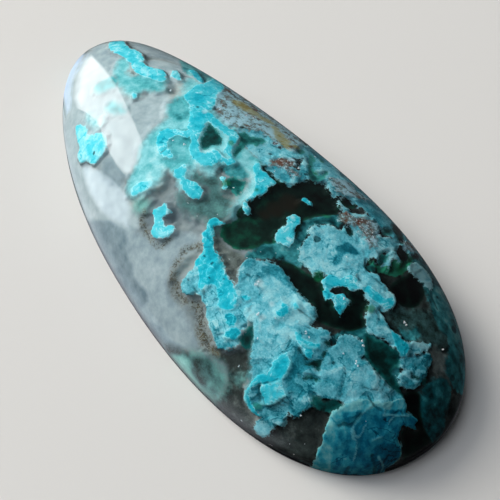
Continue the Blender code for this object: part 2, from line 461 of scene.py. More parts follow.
# The palest veil, a band along the rim at the camera's lower left, is partly the veil's own colour and partly
# a painted highlight of the polished edge.
GREEN_VEILS = traced("""
    lower_left 0.46 168,344 180,348 192,350 206,354 218,362 226,374 228,386 222,398 216,410 204,406 190,390
        176,370 164,356
    lower_dark 0.1 191,366 195,361 201,363 206,366 209,372 206,379 200,381 194,377 195,371
    dark_edge 0 168,344 178,348 186,352 182,360 174,358
    lower_patch 0.42 236,376 244,374 246,380 240,384 235,382
    mid_slate 0.3 178,192 190,198 202,198 206,190 192,180 188,172 196,170 206,176 214,172 222,180 224,192
        234,198 232,214 224,224 214,238 204,220 190,216 178,206
    right_slate 0.14 388,308 398,308 412,310 426,312 438,322 446,336 442,346 428,344 412,341 400,334 392,322
    hook_side 0.7 134,200 144,198 150,204 144,212 136,212
    veil_edge 0.85 170,356 182,358 190,370 198,382 208,394 214,402 206,410 192,396 178,378 166,362
    edge_line 0.2 212,402 226,414 244,430 264,444 286,456 312,466 308,478 280,468 256,454 234,436 212,416
""")
RUST_ZONES = traced("""
    shelf 0.62 342,213 346,211 354,216 364,217 374,220 379,227 382,234 376,236 378,243 371,248 365,243
        364,236 358,228 350,224 343,221
    wedge 0.6 269,162 276,158 288,158 296,160 297,166 290,168 300,174 298,178 290,172 280,168 272,166
    far_shelf 0.84 332,178 342,180 352,184 356,190 364,196 370,200 360,200 350,196 342,196 334,188
    rim 0.8 216,96 222,86 236,88 250,95 264,104 276,114 290,124 302,138 298,150 286,148 274,142 262,132
        248,130 232,126 222,118 216,108
    rim_lower 0.6 402,241 408,241 415,247 414,252 406,249
""")

# Marks over the growths: half a line's width and its points as x,y, or a spot as x,y,radius, in pixels.
UMBER_LINES = traced("""
    2.6 197,246 188,248 181,252 176,260 171,268 169,278 170,288 174,297 180,303
    3.8 188,305 194,314 196,326 199,338 205,347 212,353
    2.0 142,212 139,222 143,234 150,242 158,247 166,240
""")
# Painted shade: dark lines along creases and beside folds, which darken the colour; the bed also sinks a
# little along them.
CREASE_SHADE_LINES = traced("""
    1.6 339,426 344,424 349,426 353,423 356,419 361,414
    1.8 345,475 346,470 348,466
    1.6 374,473 374,464 372,455
    1.0 260,384 257,388 256,394 258,402
    0.8 264,383 270,382 277,379
    1.1 264,406 271,406 279,403 285,399
    0.9 373,276 378,281 382,284
    1.0 357,276 361,279
    0.7 365,287 363,292 366,300
    1.0 377,311 379,315
    1.0 379,318 381,320
    0.9 298,308 304,312 310,316 316,315
    0.8 305,326 310,328 313,322
    0.8 345,366 346,372 344,380 342,388 342,394 339,398
    0.9 289,336 290,341 287,347 283,352
    0.7 376,372 380,380 379,388
    0.8 363,388 371,390 378,389
    0.8 246,274 254,277 262,276
    1.0 192,287 196,292
    1.2 202,290 204,298
    0.7 385,392 390,398
    1.2 370,398 376,406 382,410
    0.9 395,413 399,411 402,414
    0.9 161,153 165,150 168,147
    1.2 231,93 238,98 246,101
    1.6 317,220 326,219 336,221 338,227
    1.0 433,292 436,300 440,308
""")
DARK_SPOTS = numbers("""
    318,238,3.2 320,225,2 333,363,2 326,381,1 253,364,1 257,363,1 205,256,1.6 214,263,1.6 211,278,1.4
    224,279,1 94,153,1.6 198,107,1.8 204,104,1.2 425,282,1.8 439,297,1.6 456,330,4.2 455,379,3 232,111,1.5
    226,104,1.4 242,127,1.8 266,136,1.6 272,153,1.8 280,147,1.6 302,158,1.6 296,163,2 306,174,2 337,187,1.6
    333,181,1.4 188,279,0.9
""")
PALE_LINES = traced("""
    0.8 372,405 366,410 360,416 355,423 352,431 353,438 357,442 356,450 354,460
    0.7 383,405 385,411 383,416 391,414 400,415 408,416
    0.6 395,414 391,419 388,424
    0.7 353,431 356,437 360,436 363,430 366,424
    0.6 372,441 377,438 383,436
    0.8 402,445 402,452 396,460 388,465
    0.7 379,455 382,464 380,474
    1.3 258,402 264,405 271,404 279,400 287,394
    1.2 289,358 290,367 286,375 279,381 270,383
    1.2 247,390 245,398 248,408 256,416
    0.7 263,388 265,394 266,401
    0.7 270,387 271,394 270,402
    0.8 276,386 278,393 275,399
    1.1 303,343 309,347 318,348
    1.2 342,294 345,298 350,302
""")
PALE_SPOTS = numbers("""
    205,112,3 292,218,2 289,239,2.5 272,304,2.5 258,283,4 262,318,3 88,136,3
""")
GREEN_SPOTS = numbers("""
    257,190,2 322,161,3.2 317,173,2.8 371,309,4 231,143,3 225,183,4 403,267,4 327,214,3 318,274,4
""")
BROWN_SPOTS = numbers("""
    276,206,9 290,200,10 264,212,6 392,356,4
""")
OLIVE_SPOTS = numbers("""
    240,104,8 247,109,8 254,113,6.5 262,118,4.5 268,121,6 275,128,5.5 279,134,7 283,140,7.5 287,146,5
    296,147,4
""")
RUST_SPOTS = numbers("""
    218,109,2.6 224,104,2 227,99,1.8 246,115,1.6 254,117,2 252,126,1.8 260,129,1.8 231,128,1.6 276,143,2.2
    280,147,1.8 289,139,1.8 291,148,1.8 276,161,1.6 281,160,1.6 286,161,1.8 290,163,1.8 283,164,1.4
    291,173,2 297,177,1.8 274,158,1.6 331,179,2.2 337,183,1.8 349,214,2 357,220,2.6 366,222,2.4 372,230,2.6
    368,240,2.4 375,238,1.8 361,229,1.8 352,217,2 362,221,2.4 369,226,2.4 371,235,2.4 366,234,2.2
    278,161,1.6 288,168,1.8 294,176,1.6
""")


# ---------------------------------------------------------------------------------------------
# Fields over the chart: how far inside each growth a point lies, in millimetres.
# ---------------------------------------------------------------------------------------------
PIXEL = 0.072           # millimetres on the stone
FIELD_LIMIT = 1.5
TONE_REACH = 0.12
CURVE_STEPS = 3
TERRACES = 5
RISER = 0.45            # the share of a terrace that is its riser
LATTICE = 64


def smooth_loop(points, closed=True):
    """A Catmull-Rom curve through points."""
    if closed:
        padded = np.vstack([points[-1:], points, points[:2]])
    else:
        padded = np.vstack([points[:1], points, points[-1:]])
    a, b, c, d = padded[:-3], padded[1:-2], padded[2:-1], padded[3:]
    spots = []
    for step in np.arange(CURVE_STEPS) / CURVE_STEPS:
        bend = (2 * a - 5 * b + 4 * c - d) * step ** 2 + (3 * b - a - 3 * c + d) * step ** 3
        spots.append(0.5 * (2 * b + (c - a) * step + bend))
    curve = np.stack(spots, axis=1).reshape(-1, 2)
    return curve if closed else np.vstack([curve, points[-1:]])


def near_box(spots, line, margin):
    low, high = line.min(axis=0) - margin, line.max(axis=0) + margin
    return np.flatnonzero(((spots > low) & (spots < high)).all(axis=1))


def distance_to(spots, starts, ends):
    least = np.full(len(spots), np.inf)
    for start, end in zip(starts, ends):
        way = end - start
        share = np.clip((spots - start) @ way / max(way @ way, 1e-9), 0, 1)
        gap = spots - start - share[:, None] * way
        least = np.minimum(least, (gap * gap).sum(axis=1))
    return np.sqrt(least)


def inside_loop(spots, loop):
    odd = np.zeros(len(spots), bool)
    for start, end in zip(loop, np.roll(loop, -1, axis=0)):
        if start[1] == end[1]:
            continue
        spans = (start[1] > spots[:, 1]) != (end[1] > spots[:, 1])
        crossing = (end[0] - start[0]) * (spots[:, 1] - start[1]) / (end[1] - start[1]) + start[0]
        odd ^= spans & (spots[:, 0] < crossing)
    return odd


def area_field(spots, outlines, depth, reach):
    """How far inside some outlines each spot lies, negative outside, and the tone there.

    Of outlines that overlap, the later one gives the tone, which fades in over the reach outside it.
    """
    field = np.full(len(spots), -FIELD_LIMIT)
    tone = np.full(len(spots), 0.5)
    for level, outline in outlines:
        loop = smooth_loop(place(outline, depth))
        near = near_box(spots, loop, FIELD_LIMIT)
        gap = distance_to(spots[near], loop, np.roll(loop, -1, axis=0))
        signed = np.where(inside_loop(spots[near], loop), gap, -gap)
        field[near] = np.maximum(field[near], signed)
        tone[near] += ease(signed, -reach, 0) * (level - tone[near])
    return np.minimum(field, FIELD_LIMIT), tone


def line_field(spots, lines, depth):
    """How far inside the nearest of some lines each spot lies, given half their widths."""
    field = np.full(len(spots), -FIELD_LIMIT)
    for half_width, line in lines:
        curve = smooth_loop(place(line, depth), closed=False)
        near = near_box(spots, curve, FIELD_LIMIT)
        gap = distance_to(spots[near], curve[:-1], curve[1:])
        field[near] = np.maximum(field[near], half_width * PIXEL - gap)
    return field


def spot_field(spots, marks, depth):
    """How far inside the nearest of some round marks each spot lies."""
    field = np.full(len(spots), -FIELD_LIMIT)
    centres = place([(x, y) for x, y, _ in marks], depth)
    for centre, (_, _, radius) in zip(centres, marks):
        gap = np.linalg.norm(spots - centre, axis=1)
        field = np.maximum(field, radius * PIXEL - gap)
    return field


def ease(value, low, high):
    """0 at low and 1 at high, smoothly between."""
    part = np.clip((value - low) / (high - low), 0, 1)
    return part * part * (3 - 2 * part)


def lattice_noise(spots, cell, seed):
    """Smooth noise from 0 to 1 with features about one cell wide."""
    table = np.random.default_rng(seed).random((LATTICE, LATTICE))
    grid = spots / cell
    base = np.floor(grid).astype(int)
    part = ease(grid - base, 0, 1)
    i, j = base.T % LATTICE
    k, m = (i + 1) % LATTICE, (j + 1) % LATTICE
    low = table[i, j] * (1 - part[:, 0]) + table[k, j] * part[:, 0]
    high = table[i, m] * (1 - part[:, 0]) + table[k, m] * part[:, 0]
    return low * (1 - part[:, 1]) + high * part[:, 1]


def fractal_noise(spots, cell, seed, octaves=4):
    total, weight = np.zeros(len(spots)), 0.0
    for octave in range(octaves):
        share = 0.5 ** octave
        total += share * lattice_noise(spots + 17.3 * octave, cell * share, seed + octave)
        weight += share
    return total / weight


def wander(spots, cell, first_seed, second_seed):
    """Sideways shifts, each way from -0.5 to 0.5."""
    return np.stack([fractal_noise(spots, cell, seed) for seed in (first_seed, second_seed)], axis=1) - 0.5


def terraced(level):
    """Flat steps with steep risers between whole levels."""
    whole = np.floor(level)
    return whole + ease(level - whole, 1 - RISER, 1)


# ---------------------------------------------------------------------------------------------
# Growths
# ---------------------------------------------------------------------------------------------
class Growth(NamedTuple):
    """A kind of growth. Its lengths are in millimetres, and its colours go from dark to pale."""

    outlines: list
    depth: float        # of its top below the dome
    lumps: float        # how much its top rises and falls
    wall: float         # how wide its flank is
    ragged: float       # how far its edge wanders
    soft: float         # half the width over which its edge fades
    vary: float         # how much its tone varies
    colours: list


# From the lowest layer to the highest: each one lies over those before it.
GROWTHS = {
    "milk": Growth(MILKY_CLOUDS, 0.62, 0.04, 0.60, 0.60, 0.35, 0.8,
        [(98, 120, 130), (138, 157, 164), (172, 188, 192), (206, 214, 216)]),
    "smoke": Growth(SMOKE, 0.72, 0.06, 0.50, 0.60, 0.22, 0.9,
        [(4, 12, 11), (54, 62, 60), (114, 124, 120), (172, 180, 178)]),
    "veil": Growth(GREEN_VEILS, 0.60, 0.06, 0.40, 1.20, 0.50, 1.0,
        [(26, 44, 40), (76, 118, 118), (106, 164, 158), (142, 198, 192)]),
    "haze": Growth(HAZE, 0.42, 0.12, 0.45, 0.90, 0.36, 1.3,
        [(30, 120, 126), (84, 174, 180), (140, 206, 212), (196, 228, 230)]),
    "teal": Growth(TEAL_MASSES, 0.55, 0.16, 0.25, 0.80, 0.14, 1.5,
        [(0, 26, 30), (16, 88, 94), (62, 150, 156), (130, 196, 196)]),
    "window": Growth(WINDOWS, 0.75, 0.06, 0.14, 0.40, 0.08, 0.9,
        [(0, 1, 1), (8, 32, 26), (12, 76, 58), (40, 140, 110)]),
    "cloud": Growth(PALE_CLOUDS, 0.36, 0.48, 0.08, 1.00, 0.05, 1.3,
        [(4, 92, 108), (46, 144, 160), (106, 188, 202), (158, 214, 220)]),
    "pit": Growth(PITS, 0.46, 0.08, 0.08, 0.80, 0.10, 1.2,
        [(0, 1, 1), (6, 34, 32), (8, 78, 76), (50, 144, 138)]),
    "rust": Growth(RUST_ZONES, 0.28, 0.08, 0.12, 1.60, 0.14, 1.8,
        [(44, 28, 22), (102, 62, 46), (104, 126, 124), (154, 194, 206)]),
    "fan": Growth(SURFACE_FAN, 0.22, 0.20, 0.10, 0.45, 0.03, 0.4,
        [(0, 40, 58), (0, 104, 132), (48, 158, 176), (126, 194, 196)]),
    "crust": Growth(CYAN_CRUSTS, 0.27, 0.05, 0.18, 0.55, 0.03, 1.1,
        [(0, 132, 152), (22, 178, 198), (84, 206, 220), (162, 226, 234)]),
}
STEPPED = ("cloud", "haze", "fan")
LOBED = ("fan", "crust")
EDGED = ("cloud", "fan", "crust")
HOLES = ("window", "pit")
SOLID = ("teal", "cloud", "rust", "fan", "crust")

# What else there is in a growth's tone, and how much of it. The ledge shading is painted highlight and shade
# on the terraces; the fold shading is painted shade in thin creases.
PATTERNS = {
    "smoke": {"grit": 0.35},
    "veil": {"grit": 0.35},
    "haze": {"grit": 0.35},
    "cloud": {"fold_shade": -0.35, "soft_ledge_shade": 1.0, "grit": 1.0},
    "rust": {"grain": 1.0, "net": 0.5},
    "fan": {"fold_shade": -0.35, "ledge_shade": 0.3, "drapes": 1.0, "grit": 0.35},
    "crust": {"fold_shade": -0.35, "net": 0.36},
}
MARKS = {
    "umber": (line_field, UMBER_LINES),
    "crease_shade_line": (line_field, CREASE_SHADE_LINES),
    "dark_spot": (spot_field, DARK_SPOTS),
    "pale_line": (line_field, PALE_LINES),
    "pale_spot": (spot_field, PALE_SPOTS),
    "green_spot": (spot_field, GREEN_SPOTS),
    "olive_spot": (spot_field, OLIVE_SPOTS),
    "rust_spot": (spot_field, RUST_SPOTS),
    "brown_spot": (spot_field, BROWN_SPOTS),
}
MARK_DEPTH = 0.30
WANDER = 0.22

# Noises over the bed: the size of their features in millimetres, and their seeds.
EDGE_NOISE = (0.7, 11, 29)
CURL_NOISE = (0.9, 101, 113)
TERRACE_NOISE = (2.4, 83)
LUMP_NOISE = (1.1, 53)
FRILL_NOISE = (0.3, 67)
CURL = 1.8

# Over the far side, which the camera doesn't see, some growths follow noise: the size of its features,
# its seed, the level at which the growth begins, and how steeply it rises from there.
WILD = {
    "cloud": (3.2, 41, 0.5, 6),
    "crust": (1.8, 47, 0.64, 5),
    "window": (3.2, 41, 0.4, -5),
}
SEEN, UNSEEN = -0.12, -0.36

CLEAR_DEPTH, CLEAR_LUMPS = 0.95, 0.2
FLANK = 1.2
FOLD_RISE, CRACK_DROP, CRUST_LIFT = 0.05, 0.07, 0.05
MARK_SLOPE = (-0.06, 0.05)


def growth_fields(spots, facing):
    """Every growth's field and tone over the bed, with free noise where the camera's view can't reach."""
    bent = spots + WANDER * wander(spots, *EDGE_NOISE)
    fields = {}
    for name, growth in GROWTHS.items():
        reach = TONE_REACH + growth.soft
        fields[name], fields[name + "_tone"] = area_field(bent, growth.outlines, growth.depth, reach)
    for name, (measure, marks) in MARKS.items():
        fields[name] = measure(bent, marks, MARK_DEPTH)
    curled = spots + CURL * wander(spots, *CURL_NOISE)
    fields["terrace"] = TERRACES * fractal_noise(curled, *TERRACE_NOISE)
    unseen = ease(facing, SEEN, UNSEEN)
    for name, (cell, seed, level, steepness) in WILD.items():
        wild = steepness * (fractal_noise(spots, cell, seed) - level)
        fields[name] += unseen * (wild - fields[name])
    return fields


def bed_depth(spots, fields):
    """How deep the growths' tops lie below the dome."""
    lumps = fractal_noise(spots, *LUMP_NOISE) - 0.5
    steps = 0.5 - terraced(fields["terrace"]) / TERRACES
    frill = 0.5 * (fractal_noise(spots, *FRILL_NOISE, octaves=2) - 0.5)
    depth = CLEAR_DEPTH + CLEAR_LUMPS * lumps
    for name, growth in GROWTHS.items():
        share = ease(fields[name] + growth.ragged * frill, -growth.wall * FLANK, 0)
        top = growth.depth + growth.lumps * (steps if name in STEPPED else lumps)
        if name == "crust":
            top = np.minimum(top, depth - CRUST_LIFT)
        depth += share * (top - depth)
    depth -= FOLD_RISE * ease(fields["pale_line"], *MARK_SLOPE)
    depth += CRACK_DROP * ease(fields["crease_shade_line"], *MARK_SLOPE)
    return depth


# ---------------------------------------------------------------------------------------------
# Meshes
# ---------------------------------------------------------------------------------------------
BED_COLUMNS, BED_ROWS = 464, 208
GIRDLE_SHARE = 1 / 1.08         # of the bed's radius, where the girdle is
BED_FOOT, FOOT_BLEND = 0.25, 0.6
FOOT_DEPTH, LEAST_DEPTH, MOST_DEPTH = 0.32, 0.07, 3.0
RIM_DEPTH, RIM_START = 0.10, 0.84
DOME_TURNS, DOME_RINGS, BEVEL_RINGS = 288, 72, 5


def new_mesh_object(name, points, faces, smooth=True):
    mesh = bpy.data.meshes.new(name)
    mesh.from_pydata((np.asarray(points) * MM).tolist(), [], faces)
    mesh.update()
    if smooth:
        mesh.shade_smooth()
    made = bpy.data.objects.new(name, mesh)
    bpy.context.scene.collection.objects.link(made)
    return made


def set_field(piece, name, values):
    layer = piece.data.attributes.new(name, "FLOAT", "POINT")
    layer.data.foreach_set("value", np.asarray(values, np.float32))


def disc_grid(columns, rows):
    """A square grid of points pushed out into a disc: each point's share of the radius, and its angle."""
    u, v = np.meshgrid(np.linspace(-1, 1, columns), np.linspace(-1, 1, rows), indexing="ij")
    u, v = u.ravel(), v.ravel()
    wide = np.abs(u) >= np.abs(v)
    radius = np.where(wide, u, v)
    safe = np.where(radius == 0, 1, radius)
    angle = np.where(wide, math.pi / 4 * v / safe, math.pi / 2 - math.pi / 4 * u / safe)
    angle = np.where(radius < 0, angle + math.pi, angle)
    return np.abs(radius), angle


def stone_surface(radius, angle):
    """Points of the dome and, past the girdle, of the wall below it."""
    reach = np.sin(np.clip(radius / GIRDLE_SHARE, 0, 1) * math.pi / 2)
    x, y = outline_point(angle)
    below = np.clip((radius - GIRDLE_SHARE) / (1 - GIRDLE_SHARE), 0, 1)
    z = dome_height(reach) - below * (GIRDLE_HEIGHT - BED_FOOT)
    return np.stack([reach * x, reach * y - SIDE_SHIFT, z], axis=1)


def add_mineral_bed():
    """The growths as one skin under the dome, closed below, with a field for each growth."""
    radius, angle = disc_grid(BED_COLUMNS, BED_ROWS)
    surface = stone_surface(radius, angle)
    spots = chart(surface)
    facing = (surface_normal(surface) * unit(EYE - surface)).sum(axis=1)
    fields = growth_fields(spots, facing)
    depth = bed_depth(spots, fields)
    over_foot = np.clip((surface[:, 2] - BED_FOOT) / FOOT_BLEND, 0, 1)
    depth = np.clip(depth, FOOT_DEPTH + (LEAST_DEPTH - FOOT_DEPTH) * over_foot, MOST_DEPTH)
    depth -= (depth - RIM_DEPTH) * ease(radius, RIM_START, GIRDLE_SHARE) * over_foot
    points = surface + inward(surface) * depth[:, None]

    index = np.arange(BED_COLUMNS * BED_ROWS).reshape(BED_COLUMNS, BED_ROWS)
    corners = [index[:-1, :-1], index[1:, :-1], index[1:, 1:], index[:-1, 1:]]
    faces = np.stack([corner.ravel() for corner in corners], axis=1).tolist()
    rim = [*index[:-1, 0], *index[-1, :-1], *index[:0:-1, -1], *index[0, :0:-1]]
    faces.append([int(corner) for corner in reversed(rim)])
    bed = new_mesh_object("mineral_bed", points, faces)
    for name, field in fields.items():
        set_field(bed, name, field)
    return bed


def add_clear_dome():
    """The polished body of clear chalcedony round the growths, with its ground back."""
    angle = np.linspace(0, 2 * math.pi, DOME_TURNS, endpoint=False)
    x, y = outline_point(angle)
    rings = []
    for top in np.linspace(0, math.pi / 2, DOME_RINGS + 1)[1:]:
        reach = math.sin(top)
        rings.append((reach, 0.0, float(dome_height(np.array(reach)))))
    for step in np.linspace(0, math.pi / 2, BEVEL_RINGS + 1):
        rings.append((1.0, BACK_BEVEL * (1 - math.cos(step)), BACK_BEVEL * (1 - math.sin(step))))
    normal = unit(np.stack([np.gradient(y, angle), -np.gradient(x, angle)], axis=1))
    points = [(0.0, -SIDE_SHIFT, HEIGHT)]
    for reach, inset, z in rings:
        ring_x = reach * x - inset * normal[:, 0]
        ring_y = reach * y - SIDE_SHIFT - inset * normal[:, 1]
        points.extend(zip(ring_x, ring_y, np.full(DOME_TURNS, z)))
    faces = []
    for turn in range(DOME_TURNS):
        after = (turn + 1) % DOME_TURNS
        faces.append((0, 1 + turn, 1 + after))
        for ring in range(len(rings) - 1):
            upper, lower = 1 + ring * DOME_TURNS, 1 + (ring + 1) * DOME_TURNS
            faces.append((upper + turn, lower + turn, lower + after, upper + after))
    last = 1 + (len(rings) - 1) * DOME_TURNS
    faces.append(tuple(last + turn for turn in reversed(range(DOME_TURNS))))
    dome = new_mesh_object("clear_chalcedony", points, faces)
    dome.data.set_sharp_from_angle(angle=math.radians(40))
    return dome


# Places of small bright crystals on the growths, as x,y,size in pixels.
DRUSE = numbers("""
    258,283,3.4 256,285,2 258,314,3.4 276,318,1.6 363,341,1.8 364,346,2.6 356,363,2.4 358,366,1.8 443,349,2
    242,421,2.4 272,446,1.4 270,444,1.2 294,454,1.8 304,444,1.2 289,444,1.4 173,140,1.8 184,144,2.2
    233,188,1.6 404,322,2 406,324,2.2 188,203,1.6 366,421,1.2 345,299,2 306,333,2.4 309,337,1.8 275,171,1.6
    315,157,2.2 346,257,1.5 393,348,1.2 367,230,1.8 373,233,1.8 301,416,1.8 260,328,1.2 258,338,1.6
    197,216,1.2 217,215,1.4 171,90,2.2 247,258,1.3 260,252,1.2 276,253,1 229,259,1 344,354,1.6 298,249,1.2
    239,366,2 264,298,1.3 280,297,1.2 284,318,1.2 299,168,2.2
""")
DRUSE_DEPTH = 0.16
CLUSTER, CLUSTER_SIZE, CLUSTER_SPREAD = 3, 1.5, 0.28    # a place larger than this size has so many
CRYSTAL_SIDES = 6
CRYSTAL_HALF, CRYSTAL_WIDTH = (0.25, 0.42), (0.6, 0.95)
CRYSTAL_TIP, CRYSTAL_SHOULDER = 1.1, 0.5


def crystal_places(rng):
    """The centre and half the length of each crystal."""
    points, bent, _ = sight_lines([(x, y) for x, y, _ in DRUSE])
    crystals = []
    for centre, (_, _, pixels) in zip(points + bent * DRUSE_DEPTH, DRUSE):
        size = pixels * PIXEL
        for _ in range(CLUSTER if pixels > CLUSTER_SIZE else 1):
            aside = rng.normal(scale=size * CLUSTER_SPREAD, size=2)
            spot = centre + aside[0] * VIEW_RIGHT + aside[1] * VIEW_UP
            crystals.append((spot, size * rng.uniform(*CRYSTAL_HALF)))
    return crystals


def add_druse():
    """Six-sided crystals with pointed ends, each leaning its own way."""
    rng = np.random.default_rng(5)
    spots, faces = [], []
    for centre, half in crystal_places(rng):
        lean = Vector(rng.normal(size=3)).normalized().to_track_quat("Z", "Y").to_matrix()
        local = [(0, 0, half * CRYSTAL_TIP), (0, 0, -half * CRYSTAL_TIP)]
        for z in (CRYSTAL_SHOULDER, -CRYSTAL_SHOULDER):
            for side in range(CRYSTAL_SIDES):
                turn = side * 2 * math.pi / CRYSTAL_SIDES
                wide = half * rng.uniform(*CRYSTAL_WIDTH)
                local.append((wide * math.cos(turn), wide * math.sin(turn), half * z))
        start = len(spots)
        spots.extend(centre + np.array(lean @ Vector(corner)) for corner in local)
        for side in range(CRYSTAL_SIDES):
            after = (side + 1) % CRYSTAL_SIDES
            upper, upper_after = start + 2 + side, start + 2 + after
            lower, lower_after = upper + CRYSTAL_SIDES, upper_after + CRYSTAL_SIDES
            faces.append((start, upper, upper_after))
            faces.append((upper, lower, lower_after, upper_after))
            faces.append((start + 1, lower_after, lower))
    return new_mesh_object("druse_crystals", spots, faces, smooth=False)


# ---------------------------------------------------------------------------------------------
# Materials
# ---------------------------------------------------------------------------------------------
def colour(red, green, blue):
    """A linear colour from sRGB bytes."""
    parts = []
    for byte in (red, green, blue):
        share = byte / 255
        parts.append(share / 12.92 if share <= 0.04045 else ((share + 0.055) / 1.055) ** 2.4)
    return (*parts, 1.0)


class Value:
    """A node's result, which can be reckoned with like a number."""

    def __init__(self, nodes, socket):
        self.nodes, self.socket = nodes, socket

    def __add__(self, other):
        return self.nodes.math("ADD", self, other)

    def __sub__(self, other):
        return self.nodes.math("SUBTRACT", self, other)

    def __mul__(self, other):
        return self.nodes.math("MULTIPLY", self, other)

    def __abs__(self):
        return self.nodes.math("ABSOLUTE", self)


class Nodes:
    """Short names for making and joining the nodes of a material or of the world."""

    def __init__(self, owner, place="Object"):
        owner.use_nodes = True
        self.owner = owner
        self.tree = owner.node_tree
        self.place = self.make("TexCoord", place)

    def join(self, target, value):
        if isinstance(value, Value):
            self.tree.links.new(value.socket, target)
        else:
            target.default_value = value

    def make(self, kind, result=0, inputs=None, **settings):
        """A new node's result. Inputs and the result go by name or number."""
        node = self.tree.nodes.new("ShaderNode" + kind)
        for name, value in settings.items():
            setattr(node, name, value)
        for key, value in (inputs or {}).items():
            self.join(node.inputs[key], value)
        return Value(self, node.outputs[result])

    def dress(self, **inputs):
        for name, value in inputs.items():
            self.join(self.tree.nodes["Principled BSDF"].inputs[name.replace("_", " ")], value)

    def surface(self, value):
        self.join(self.tree.nodes["Material Output"].inputs["Surface"], value)

    def attribute(self, name):
        return self.make("Attribute", "Fac", attribute_name=name)

    def noise(self, scale, detail=3.0, rough=0.55, distortion=0.0, place=None):
        inputs = {"Vector": place or self.place, "Scale": scale, "Detail": detail}
        return self.make("TexNoise", "Fac", {**inputs, "Roughness": rough, "Distortion": distortion})

    def streaks(self, scale, bearing, length):
        """Noise drawn out along a bearing in the table's plane."""
        turn = (0.0, 0.0, math.radians(bearing))
        inputs = {"Vector": self.place, "Rotation": turn, "Scale": (length, 1.0, 1.0)}
        return self.noise(scale, rough=0.5, place=self.make("Mapping", 0, inputs, vector_type="TEXTURE"))

    def cell_walls(self, scale, warp):
        """Distance from the walls in a field of cells. The walls wander by a share of a cell."""
        shift = self.make("TexNoise", "Color", {"Vector": self.place, "Scale": scale})
        inputs = {0: shift, 1: (warp / scale,) * 3, 2: self.place}
        bent = self.make("VectorMath", 0, inputs, operation="MULTIPLY_ADD")
        inputs = {"Vector": bent, "Scale": scale}
        return self.make("TexVoronoi", "Distance", inputs, feature="DISTANCE_TO_EDGE")

    def math(self, operation, first, second=0.0):
        return self.make("Math", 0, {0: first, 1: second}, operation=operation)

    def between(self, value, low, high):
        """0 below low, 1 above high, eased between; low may be the larger."""
        inputs = {"Value": value, "From Min": low, "From Max": high}
        return self.make("MapRange", "Result", inputs, interpolation_type="SMOOTHSTEP")

    def spread(self, value, start, end, low, high):
        """low at start, high at end, and straight between."""
        inputs = {"Value": value, "From Min": start, "From Max": end, "To Min": low, "To Max": high}
        return self.make("MapRange", "Result", inputs)

    def shades(self, tone, colours):
        """Colours spread evenly over the tones from 0 to 1."""
        ramp = self.make("ValToRGB", "Color", {"Fac": tone})
        elements = ramp.socket.node.color_ramp.elements
        while len(elements) < len(colours):
            elements.new(0.5)
        for step, (element, rgb) in enumerate(zip(elements, colours)):
            element.position = step / (len(colours) - 1)
            element.color = colour(*rgb)
        return ramp

    def mix(self, share, under, over, blend="MIX"):
        node = self.make("Mix", 0, {0: share}, data_type="RGBA", blend_type=blend).socket.node
        # Its colour sockets share their names with other types' sockets.
        first, second = (socket for socket in node.inputs if socket.type == "RGBA")
        self.join(first, under)
        self.join(second, over)
        return Value(self, next(socket for socket in node.outputs if socket.type == "RGBA"))

    def bump(self, height, distance, strength):
        return self.make("Bump", "Normal", {"Strength": strength, "Distance": distance, "Height": height})


GROUND = [(112, 126, 132), (138, 150, 152), (160, 168, 166)]
UMBER = [(36, 30, 20), (90, 82, 62)]
UMBER_CLEAR = (112, 116, 106)
BROWN_BLACK = (23, 22, 15)
OLIVE = (150, 142, 76)
RUST = (76, 40, 28)
SPARK = (206, 222, 228)
CLEAR_SHADE = (0.97, 0.98, 0.98, 1.0)

# The palest part of a growth's edge, and of the wall round a hole, and where each begins and ends.
PALE_EDGE, EDGE_SPAN = 0.34, (0.09, 0.01)
PALE_WALL, WALL_SPAN = 0.3, (0.32, 0.0)
FOLD_BEARING = -33.0
GROUND_SOLID = 0.15

# Marks over all the growths: how far the edge wanders, how soft it is, how strong, and the tint.
STAINS = {
    "green_spot": (0.4, 0.14, 0.75, (16, 112, 70), "MIX"),
    "pale_spot": (0.3, 0.10, 0.50, (210, 234, 234), "MIX"),
    "pale_line": (0.3, 0.06, 0.48, (128, 212, 218), "MIX"),
    # Painted shade along the creases, multiplied into the colour.
    "crease_shade_line": (0.3, 0.05, 0.70, (70, 128, 132), "MULTIPLY"),
    "dark_spot": (0.2, 0.05, 0.90, (66, 110, 112), "MULTIPLY"),
}


class Textures(NamedTuple):
    """Noises that several of the mineral skin's looks share."""

    coarse: Value
    middle: Value
    lobes: Value
    frill: Value
    fine: Value


def shaken(s, name, width, edge):
    """A field whose edge wanders over a width, as a texture says."""
    return s.attribute(name) + (edge - 0.5) * width


def cover(s, t, name, width, soft):
    """How much of the skin a mark covers, from 0 to 1."""
    return s.between(shaken(s, name, width, t.frill), -soft, soft)


